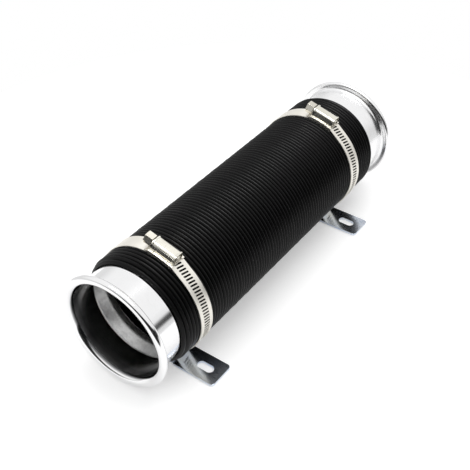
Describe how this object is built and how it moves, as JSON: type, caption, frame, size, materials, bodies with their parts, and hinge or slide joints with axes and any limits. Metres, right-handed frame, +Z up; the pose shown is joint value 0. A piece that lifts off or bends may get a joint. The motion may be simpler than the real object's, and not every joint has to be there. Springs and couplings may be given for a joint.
{
  "type": "cold air intake pipe",
  "caption": "Straight pleated flexible air duct with a flared metal adapter in each end, worm-drive clamps, and slotted brackets that fix it in a car's engine bay.",
  "frame": {"origin": "on the pipe's axis, in the plane of the duct's front end, where the straight bore of the front adapter ends", "axes": "+Y along the duct towards its rear end, +Z up, +X towards the brackets' bolt slots"},
  "size_m": [0.0985, 0.2983, 0.1002],
  "materials": {
    "duct": "satin black, finely pleated",
    "adapter": "polished, spun",
    "strap": "bright zinc plate",
    "housing": "bright zinc plate, pressed",
    "screw": "bright zinc plate, turned",
    "bracket": "mirror-bright plate"
  },
  "bodies": {
    "root": {"flex_duct": "duct", "front_adapter": "adapter", "rear_adapter": "adapter", "front_clamp_strap": "strap", "front_clamp_saddle": "strap", "front_clamp_housing": "housing", "front_clamp_screw": "screw", "front_bracket": "bracket", "rear_clamp_strap": "strap", "rear_clamp_saddle": "strap", "rear_clamp_housing": "housing", "rear_clamp_screw": "screw", "rear_bracket": "bracket"}
  },
  "joints": []
}
